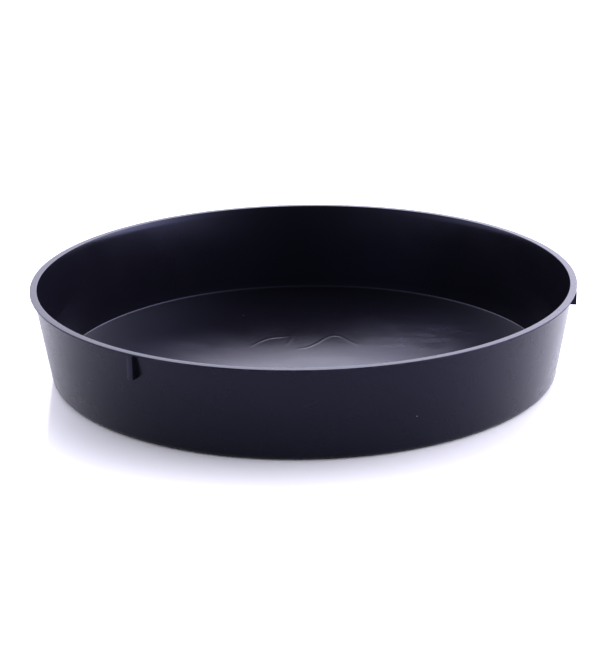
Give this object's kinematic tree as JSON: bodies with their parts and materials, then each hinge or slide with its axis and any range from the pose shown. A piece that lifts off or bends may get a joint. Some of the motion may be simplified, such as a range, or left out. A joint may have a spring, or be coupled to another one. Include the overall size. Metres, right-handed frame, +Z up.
{
  "type": "plant pot saucer",
  "caption": "Round, flat-floored saucer that stands under a plant pot and catches water, with a straight tapered wall, a thin turned-out lip and short stacking lugs below it.",
  "frame": {"origin": "centre of the base, in the plane that the saucer stands on", "axes": "+Z up along the axis of the dish; +X points at the middle of the first stacking lug"},
  "size_m": [0.35, 0.35, 0.06],
  "materials": {
    "saucer_plastic": "satin"
  },
  "bodies": {
    "root": {"saucer": "saucer_plastic"}
  },
  "joints": []
}
